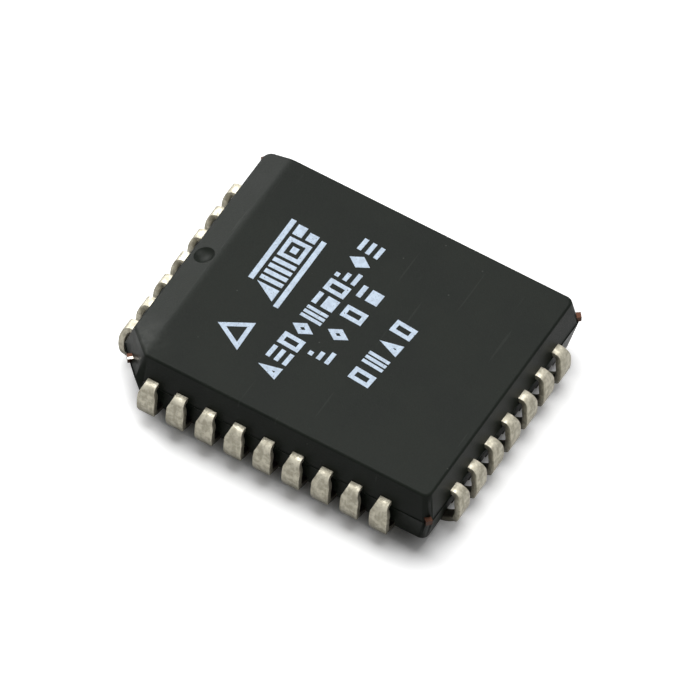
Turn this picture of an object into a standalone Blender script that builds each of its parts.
"""Memory chip in a plastic carrier with 32 J-shaped leads, 1.27 mm apart, on all four sides.

The long side runs along Y and pin 1 is the middle lead of the +Y end. Seen from above, the pins
count counter-clockwise. The origin is on the surface that the leads stand on, under the middle.
"""
import math

import bmesh
import bpy
from mathutils import Matrix, Vector

MM = 0.001

# Moulding: widest at the parting line, with draft above and below it. Each of its sides reaches
# past the middle of the side's last lead by the corner margin
CORNER_MARGIN = 1.935 * MM
STANDOFF = 0.45 * MM
UPPER_HALF = 1.31 * MM
LOWER_HALF = 1.49 * MM
DRAFT = math.radians(10)
PARTING_LEDGE = 0.03 * MM
EDGE_RADIUS = 0.10 * MM
EDGE_STEPS = 2
CORNER_RADIUS = 0.30 * MM
CORNER_STEPS = 3
PIN_1_CHAMFER = 1.14 * MM
END_BEVEL_WIDTH = 1.12 * MM
END_BEVEL_DROP = 0.34 * MM
DIMPLE_DIAMETER = 0.84 * MM
DIMPLE_DEPTH = 0.14 * MM
EJECTOR_DIAMETER = 2.40 * MM
EJECTOR_DEPTH = 0.10 * MM
ROUND_SIDES = 20

# Leads: one strip of sheet each, bent down and curled under the moulding. The lengths at which a
# strip widens are measured along it from the wall
END_LEADS = 7
SIDE_LEADS = 9
PITCH = 1.27 * MM
SHEET = 0.25 * MM
EXIT_WIDTH = 0.49 * MM
WIDE_WIDTH = 0.76 * MM
FOOT_WIDTH = 0.43 * MM
WIDENING_START = 0.11 * MM
WIDENING_END = 0.48 * MM
SHOULDER = 0.02 * MM
BEND_RADIUS = 0.25 * MM
BEND_STEPS = 4
LEG_LEAN = math.radians(7)
CURL_RADIUS = 1.00 * MM
CURL_STEPS_DOWN = 5
CURL_STEPS_UP = 2
POCKET_SIDE_ROOM = 0.16 * MM
POCKET_END_ROOM = 0.20 * MM
POCKET_HEIGHT = 0.42 * MM

# Fingers of the leads inside the moulding
KNEE_DEPTH = 0.90 * MM
TIP_PITCH = 0.52 * MM
TIP_WIDTH = 0.30 * MM
TIP_TO_PADDLE = 0.30 * MM

# Die and its paddle
PADDLE_WIDTH = 4.00 * MM
PADDLE_LENGTH = 5.00 * MM
PADDLE_DOWNSET = 0.25 * MM
TIE_BAR_WIDTH = 0.26 * MM
TIE_BAR_RAMP = 0.50 * MM
TIE_BAR_STUB = 0.08 * MM
ATTACH_THICKNESS = 0.03 * MM
ATTACH_MARGIN = 0.12 * MM
DIE_WIDTH = 3.20 * MM
DIE_LENGTH = 4.00 * MM
DIE_THICKNESS = 0.30 * MM

# Gold wires, welded to the fingers of the leads that carry a signal or a supply
UNUSED_PINS = (1, 12, 17, 26)
WIRE_DIAMETER = 0.033 * MM
WIRE_RISE = 0.17 * MM
WIRE_STEPS = 6
BALL_FACTOR = 2.4
BALL_HEIGHT = 0.03 * MM
PAD_INSET = 0.14 * MM
PAD_PITCH = 0.41 * MM
STITCH_INSET = 0.12 * MM
STITCH_DEPTH = 0.012 * MM

# Room between two pieces that touch on the real chip
FIT = 0.01 * MM
CUT_OVERSHOOT = 0.30 * MM

BODY_WIDTH = (END_LEADS - 1) * PITCH + 2 * CORNER_MARGIN
BODY_LENGTH = (SIDE_LEADS - 1) * PITCH + 2 * CORNER_MARGIN
PARTING_HEIGHT = STANDOFF + LOWER_HALF
LEAD_HEIGHT = PARTING_HEIGHT + SHEET / 2
BODY_TOP = PARTING_HEIGHT + UPPER_HALF
PADDLE_HEIGHT = LEAD_HEIGHT - PADDLE_DOWNSET
ATTACH_BOTTOM = PADDLE_HEIGHT + SHEET / 2 + FIT
DIE_BOTTOM = ATTACH_BOTTOM + ATTACH_THICKNESS + FIT
DIE_TOP = DIE_BOTTOM + DIE_THICKNESS


def empty_scene():
    for found in list(bpy.data.objects):
        bpy.data.objects.remove(found, do_unlink=True)


def new_collection(name):
    collection = bpy.data.collections.new(name)
    bpy.context.scene.collection.children.link(collection)
    return collection


def new_material(name, colour, roughness, metallic):
    material = bpy.data.materials.new(name)
    material.use_nodes = True
    shader = material.node_tree.nodes["Principled BSDF"]
    shader.inputs["Base Color"].default_value = (*colour, 1)
    shader.inputs["Roughness"].default_value = roughness
    shader.inputs["Metallic"].default_value = metallic
    material.diffuse_color = (*colour, 1)
    return material


def add_object(name, bm, collection, material=None):
    mesh = bpy.data.meshes.new(name)
    bm.to_mesh(mesh)
    bm.free()
    made = bpy.data.objects.new(name, mesh)
    collection.objects.link(made)
    if material:
        mesh.materials.append(material)
    return made


def hide_cutter(cutter):
    cutter.hide_render = True
    cutter.display_type = 'WIRE'
    return cutter


def apply_modifiers(made):
    """Turn what the modifiers make into the object's own mesh."""
    depsgraph = bpy.context.evaluated_depsgraph_get()
    mesh = bpy.data.meshes.new_from_object(made.evaluated_get(depsgraph))
    old = made.data
    made.modifiers.clear()
    made.data = mesh
    bpy.data.meshes.remove(old)
    mesh.name = made.name


def join_solid(made, other):
    """Weld a second solid to the first and remove it."""
    weld = made.modifiers.new("weld", 'BOOLEAN')
    weld.operation = 'UNION'
    weld.solver = 'EXACT'
    weld.material_mode = 'TRANSFER'
    weld.object = other
    apply_modifiers(made)
    bpy.data.objects.remove(other, do_unlink=True)


def box(name, width, length, bottom, top, collection, material=None):
    bm = bmesh.new()
    size = Matrix.Diagonal((width, length, top - bottom, 1))
    place = Matrix.Translation((0, 0, (bottom + top) / 2))
    bmesh.ops.create_cube(bm, size=1, matrix=place @ size)
    return add_object(name, bm, collection, material)


def outline(grow, height):
    """Counter-clockwise outline of the moulding, grow further out than its parting line."""
    half_width = BODY_WIDTH / 2 + grow
    half_length = BODY_LENGTH / 2 + grow
    corners = (
        (1, 1, CORNER_RADIUS, CORNER_STEPS),
        (-1, 1, PIN_1_CHAMFER, 1),
        (-1, -1, CORNER_RADIUS, CORNER_STEPS),
        (1, -1, CORNER_RADIUS, CORNER_STEPS),
    )
    points = []
    for quarter, (side, end, radius, steps) in enumerate(corners):
        centre = Vector((side * (half_width - radius), end * (half_length - radius), height))
        for step in range(steps + 1):
            angle = math.radians(90) * (quarter + step / steps)
            points.append(centre + radius * Vector((math.cos(angle), math.sin(angle), 0)))
    return points


def body_sections():
    """Outlines from the underside to the top: drafted halves, a ledge between them, rounded rims."""
    slope = math.tan(DRAFT)
    lower_inset = LOWER_HALF * slope
    upper_inset = PARTING_LEDGE + UPPER_HALF * slope
    rim = [math.radians(90) * step / EDGE_STEPS for step in range(EDGE_STEPS + 1)]
    sections = []
    for angle in rim:
        inset = EDGE_RADIUS * (1 - math.sin(angle))
        rise = EDGE_RADIUS * (1 - math.cos(angle))
        sections.append(outline(rise * slope - lower_inset - inset, STANDOFF + rise))
    sections.append(outline(0, PARTING_HEIGHT))
    sections.append(outline(-PARTING_LEDGE, PARTING_HEIGHT))
    for angle in reversed(rim):
        inset = EDGE_RADIUS * (1 - math.sin(angle))
        drop = EDGE_RADIUS * (1 - math.cos(angle))
        sections.append(outline(drop * slope - upper_inset - inset, BODY_TOP - drop))
    return sections


def loft(bm, sections):
    rings = [[bm.verts.new(point) for point in section] for section in sections]
    for lower, upper in zip(rings, rings[1:]):
        for index in range(len(lower)):
            after = (index + 1) % len(lower)
            bm.faces.new((lower[index], lower[after], upper[after], upper[index]))
    bm.faces.new(rings[0][::-1])
    bm.faces.new(rings[-1])


def slope_pin_1_end(bm):
    """Lower the top towards the pin 1 end, in one straight slope from a line across the top."""
    line = BODY_LENGTH / 2 - PARTING_LEDGE - UPPER_HALF * math.tan(DRAFT) - END_BEVEL_WIDTH
    everything = bm.verts[:] + bm.edges[:] + bm.faces[:]
    bmesh.ops.bisect_plane(bm, geom=everything, dist=0.001 * MM,
                           plane_co=(0, line, 0), plane_no=(0, 1, 0))
    for vert in bm.verts:
        above = (vert.co.z - PARTING_HEIGHT) / UPPER_HALF
        beyond = (vert.co.y - line) / END_BEVEL_WIDTH
        if above > 0 and beyond > 0:
            vert.co.z -= END_BEVEL_DROP * above * min(beyond, 1)
    return line


def dimple_cutter(bevel_line, collection):
    """Shallow ball-shaped dish that marks pin 1, half way down the slope of the end."""
    bm = bmesh.new()
    ball = (DIMPLE_DIAMETER ** 2 / 4 + DIMPLE_DEPTH ** 2) / (2 * DIMPLE_DEPTH)
    bmesh.ops.create_uvsphere(bm, u_segments=ROUND_SIDES, v_segments=14, radius=ball)
    lift = Matrix.Translation((0, 0, ball - DIMPLE_DEPTH))
    tilt = Matrix.Rotation(-math.atan2(END_BEVEL_DROP, END_BEVEL_WIDTH), 4, 'X')
    middle = Vector((0, bevel_line + END_BEVEL_WIDTH / 2, BODY_TOP - END_BEVEL_DROP / 2))
    bm.transform(Matrix.Translation(middle) @ tilt @ lift)
    return hide_cutter(add_object("dimple_cutter", bm, collection))


def ejector_cutter(collection):
    """Shallow round mark that the mould's ejector pin leaves in the underside."""
    bm = bmesh.new()
    bmesh.ops.create_cone(bm, cap_ends=True, segments=ROUND_SIDES,
                          radius1=EJECTOR_DIAMETER / 2, radius2=EJECTOR_DIAMETER / 2,
                          depth=2 * EJECTOR_DEPTH)
    bm.transform(Matrix.Translation((0, 0, STANDOFF)))
    return hide_cutter(add_object("ejector_cutter", bm, collection))


def ribbon(name, stations, thickness, collection, material=None):
    """Bend a flat strip of sheet: each station is along, height, middle and half width.

    The strip runs along +Y, its middle and half width are along X, and the sheet is centred.
    """
    last = len(stations) - 1
    bm = bmesh.new()
    bmesh.ops.create_grid(bm, x_segments=last, y_segments=1, size=1)
    for vert in bm.verts:
        along, height, middle, half_width = stations[round((vert.co.x + 1) / 2 * last)]
        side = 1 if vert.co.y < 0 else -1
        vert.co = (middle + side * half_width, along, height)
    made = add_object(name, bm, collection, material)
    sheet = made.modifiers.new("sheet", 'SOLIDIFY')
    sheet.thickness = thickness
    sheet.offset = 0
    sheet.use_even_offset = True
    apply_modifiers(made)
    return made


def between(value, start, end, first, last):
    """Straight change from first to last as value goes from start to end, and constant outside."""
    share = min(max((value - start) / (end - start), 0), 1)
    return first + (last - first) * share


def finger_stations(depth, offset, grow, beyond):
    """Flat part of a lead, from its tip near the paddle to just past the wall."""
    fan = offset * (TIP_PITCH / PITCH - 1)
    return [
        (-depth - grow, LEAD_HEIGHT, fan, TIP_WIDTH / 2 + grow),
        (-KNEE_DEPTH, LEAD_HEIGHT, 0, EXIT_WIDTH / 2 + grow),
        (beyond, LEAD_HEIGHT, 0, EXIT_WIDTH / 2 + grow),
    ]


def curl_start_height():
    step = curl_step()
    return SHEET / 2 + CURL_RADIUS * (math.cos(step / 2) + math.sin(LEG_LEAN))


def curl_step():
    """Angle of one facet of the curl, with one facet lying flat on the seating plane."""
    return (math.radians(90) + LEG_LEAN) / (CURL_STEPS_DOWN + 0.5)


def formed_stations():
    """Bend, leg and curl of a lead outside the wall."""
    stations = []
    turn = math.radians(90) - LEG_LEAN
    for step in range(1, BEND_STEPS + 1):
        angle = turn * step / BEND_STEPS
        along = SHOULDER + BEND_RADIUS * math.sin(angle)
        height = LEAD_HEIGHT - BEND_RADIUS * (1 - math.cos(angle))
        length = SHOULDER + BEND_RADIUS * angle
        width = between(length, WIDENING_START, WIDENING_END, EXIT_WIDTH, WIDE_WIDTH)
        stations.append((along, height, 0, width / 2))
    along, height = stations[-1][:2]
    leg = (height - curl_start_height()) / math.cos(LEG_LEAN)
    flare = min(max(WIDENING_END - length, leg / 10), leg / 2)
    stations.append((along + flare * math.sin(LEG_LEAN), height - flare * math.cos(LEG_LEAN),
                     0, WIDE_WIDTH / 2))
    centre_along = along + leg * math.sin(LEG_LEAN) - CURL_RADIUS * math.cos(LEG_LEAN)
    centre_height = curl_start_height() - CURL_RADIUS * math.sin(LEG_LEAN)
    for step in range(CURL_STEPS_DOWN + CURL_STEPS_UP + 2):
        angle = LEG_LEAN - step * curl_step()
        along = centre_along + CURL_RADIUS * math.cos(angle)
        height = centre_height + CURL_RADIUS * math.sin(angle)
        width = between(step, CURL_STEPS_DOWN / 10, CURL_STEPS_DOWN / 2, WIDE_WIDTH, FOOT_WIDTH)
        stations.append((along, height, 0, width / 2))
    return stations


def wire_points(depth, offset, wall):
    """From the pad on the die, up and over in one loop, down to the tip of the finger."""
    is_end = math.isclose(wall, BODY_LENGTH / 2)
    die_edge = (DIE_LENGTH if is_end else DIE_WIDTH) / 2
    pad = Vector((offset * (PAD_PITCH / PITCH - 1), die_edge - PAD_INSET - wall, DIE_TOP + FIT))
    neck = pad + Vector((0, 0, BALL_HEIGHT))
    stitch = Vector((offset * (TIP_PITCH / PITCH - 1), STITCH_INSET - depth,
                     LEAD_HEIGHT + SHEET / 2 - STITCH_DEPTH))
    points = [(pad, BALL_FACTOR), (neck, BALL_FACTOR)]
    for step in range(1, WIRE_STEPS + 1):
        share = (step / WIRE_STEPS) ** 2
        point = neck.lerp(stitch, share)
        point.z += WIRE_RISE * math.sin(math.pi * step / WIRE_STEPS)
        points.append((point, 1))
    return points


def wire_solid(name, points, radius, sides_level, collection, material=None):
    curve = bpy.data.curves.new(name, 'CURVE')
    curve.dimensions = '3D'
    curve.bevel_depth = radius
    curve.bevel_resolution = sides_level
    curve.use_fill_caps = True
    spline = curve.splines.new('POLY')
    spline.points.add(len(points) - 1)
    for knot, (place, factor) in zip(spline.points, points):
        knot.co = (*place, 1)
        knot.radius = factor
    guide = bpy.data.objects.new(name + "_guide", curve)
    collection.objects.link(guide)
    depsgraph = bpy.context.evaluated_depsgraph_get()
    mesh = bpy.data.meshes.new_from_object(guide.evaluated_get(depsgraph))
    bm = bmesh.new()
    bm.from_mesh(mesh)
    bmesh.ops.remove_doubles(bm, verts=bm.verts, dist=0.0001 * MM)
    bmesh.ops.recalc_face_normals(bm, faces=bm.faces)
    bpy.data.objects.remove(guide, do_unlink=True)
    bpy.data.meshes.remove(mesh)
    return add_object(name, bm, collection, material)


def lead_places():
    """Pin number, turn about Z, distance of its wall and offset along its side, for each lead."""
    sides = (
        (END_LEADS, BODY_LENGTH / 2),
        (SIDE_LEADS, BODY_WIDTH / 2),
        (END_LEADS, BODY_LENGTH / 2),
        (SIDE_LEADS, BODY_WIDTH / 2),
    )
    total = sum(count for count, wall in sides)
    position = 0
    for quarter, (count, wall) in enumerate(sides):
        for index in range(count):
            pin = (position - END_LEADS // 2) % total + 1
            offset = ((count - 1) / 2 - index) * PITCH
            yield pin, math.radians(90) * quarter, wall, offset
            position += 1


def make_lead(pin, turn, wall, offset, parts, cutters, sheet_metal, gold):
    """One lead with its wire, and the cutters for its finger, its wire and its pocket."""
    is_end = math.isclose(wall, BODY_LENGTH / 2)
    paddle_edge = (PADDLE_LENGTH if is_end else PADDLE_WIDTH) / 2
    depth = wall - paddle_edge - TIP_TO_PADDLE
    place = Matrix.Rotation(turn, 4, 'Z') @ Matrix.Translation((offset, wall, 0))
    name = f"lead_{pin:02d}"

    finger = finger_stations(depth, offset, 0, SHOULDER)
    lead = ribbon(name, finger + formed_stations(), SHEET, parts, sheet_metal)
    slot = finger_stations(depth, offset, FIT, CUT_OVERSHOOT)
    ribbon(name + "_slot", slot, SHEET + 2 * FIT, cutters).matrix_world = place

    if pin not in UNUSED_PINS:
        points = wire_points(depth, offset, wall)
        wire = wire_solid(name + "_wire", points, WIRE_DIAMETER / 2, 1, parts, gold)
        join_solid(lead, wire)
        room = (WIRE_DIAMETER / 2 + FIT) * math.sqrt(2)
        wire_solid(name + "_wire_room", points, room, 0, cutters).matrix_world = place

    lead.matrix_world = place
    lead.data.shade_smooth()
    lead.data.set_sharp_from_angle(angle=math.radians(35))

    bm = bmesh.new()
    stations = formed_stations()
    inner = min(along for along, height, middle, half in stations) - SHEET / 2 - POCKET_END_ROOM
    size = (FOOT_WIDTH + 2 * POCKET_SIDE_ROOM, CUT_OVERSHOOT - inner, 2 * POCKET_HEIGHT)
    middle = Matrix.Translation((0, (CUT_OVERSHOOT + inner) / 2, STANDOFF))
    bmesh.ops.create_cube(bm, size=1, matrix=middle @ Matrix.Diagonal((*size, 1)))
    add_object(name + "_pocket", bm, cutters).matrix_world = place


def tie_bar_stations(start, end, grow):
    """Flat on the paddle, up a ramp to the leads' plane, then flat to the corner of the moulding."""
    half = TIE_BAR_WIDTH / 2 + grow
    ramp = start + TIE_BAR_RAMP / 2
    return [
        (start - TIE_BAR_WIDTH, PADDLE_HEIGHT, 0, half),
        (ramp, PADDLE_HEIGHT, 0, half),
        (ramp + TIE_BAR_RAMP, LEAD_HEIGHT, 0, half),
        (end, LEAD_HEIGHT, 0, half),
    ]


def make_paddle(parts, cutters, sheet_metal):
    """Plate under the die, carried at its corners by four tie bars cut off at the moulding."""
    bottom = PADDLE_HEIGHT - SHEET / 2
    top = PADDLE_HEIGHT + SHEET / 2
    paddle = box("die_paddle", PADDLE_WIDTH, PADDLE_LENGTH, bottom, top, parts, sheet_metal)
    box("paddle_room", PADDLE_WIDTH + 2 * FIT, PADDLE_LENGTH + 2 * FIT,
        bottom - FIT, top + FIT, cutters)
    for side in (1, -1):
        for end in (1, -1):
            cut = PIN_1_CHAMFER if (side, end) == (-1, 1) else CORNER_RADIUS * (2 - math.sqrt(2))
            corner = Vector((side * (BODY_WIDTH - cut) / 2, end * (BODY_LENGTH - cut) / 2))
            reach = corner.length
            share = min(PADDLE_WIDTH / abs(corner.x), PADDLE_LENGTH / abs(corner.y)) / 2
            start = reach * share
            turn = math.atan2(-corner.x, corner.y)
            place = Matrix.Rotation(turn, 4, 'Z')
            bar = ribbon("tie_bar", tie_bar_stations(start, reach + TIE_BAR_STUB, 0),
                         SHEET, parts, sheet_metal)
            bar.matrix_world = place
            join_solid(paddle, bar)
            room = tie_bar_stations(start, reach + CUT_OVERSHOOT, FIT)
            ribbon("tie_bar_room", room, SHEET + 2 * FIT, cutters).matrix_world = place
    return paddle


def make_die(parts, cutters, silicon, adhesive):
    attach_width = DIE_WIDTH + 2 * ATTACH_MARGIN
    attach_length = DIE_LENGTH + 2 * ATTACH_MARGIN
    box("die_attach", attach_width, attach_length, ATTACH_BOTTOM,
        ATTACH_BOTTOM + ATTACH_THICKNESS, parts, adhesive)
    box("attach_room", attach_width + 2 * FIT, attach_length + 2 * FIT,
        ATTACH_BOTTOM - 2 * FIT, DIE_BOTTOM, cutters)
    box("memory_die", DIE_WIDTH, DIE_LENGTH, DIE_BOTTOM, DIE_TOP, parts, silicon)
    box("die_room", DIE_WIDTH + 2 * FIT, DIE_LENGTH + 2 * FIT,
        DIE_BOTTOM - FIT, DIE_TOP + FIT, cutters)


def make_body(parts, cutters, moulding):
    bm = bmesh.new()
    loft(bm, body_sections())
    bevel_line = slope_pin_1_end(bm)
    body = add_object("moulded_body", bm, parts, moulding)
    dimple_cutter(bevel_line, cutters)
    ejector_cutter(cutters)
    for cutter in cutters.objects:
        hide_cutter(cutter)
    cut = body.modifiers.new("cut", 'BOOLEAN')
    cut.operation = 'DIFFERENCE'
    cut.solver = 'EXACT'
    cut.operand_type = 'COLLECTION'
    cut.collection = cutters
    return body


def build():
    empty_scene()
    parts = new_collection("memory_chip")
    cutters = new_collection("cutters")
    sheet_metal = new_material("tinned_sheet", (0.55, 0.52, 0.47), 0.35, 1.0)
    gold = new_material("gold_wire", (0.90, 0.62, 0.22), 0.25, 1.0)
    silicon = new_material("silicon", (0.20, 0.21, 0.25), 0.20, 0.6)
    adhesive = new_material("silver_adhesive", (0.55, 0.55, 0.55), 0.60, 0.3)
    moulding = new_material("moulding_compound", (0.035, 0.037, 0.036), 0.55, 0.0)
    for pin, turn, wall, offset in lead_places():
        make_lead(pin, turn, wall, offset, parts, cutters, sheet_metal, gold)
    make_paddle(parts, cutters, sheet_metal)
    make_die(parts, cutters, silicon, adhesive)
    make_body(parts, cutters, moulding)


build()
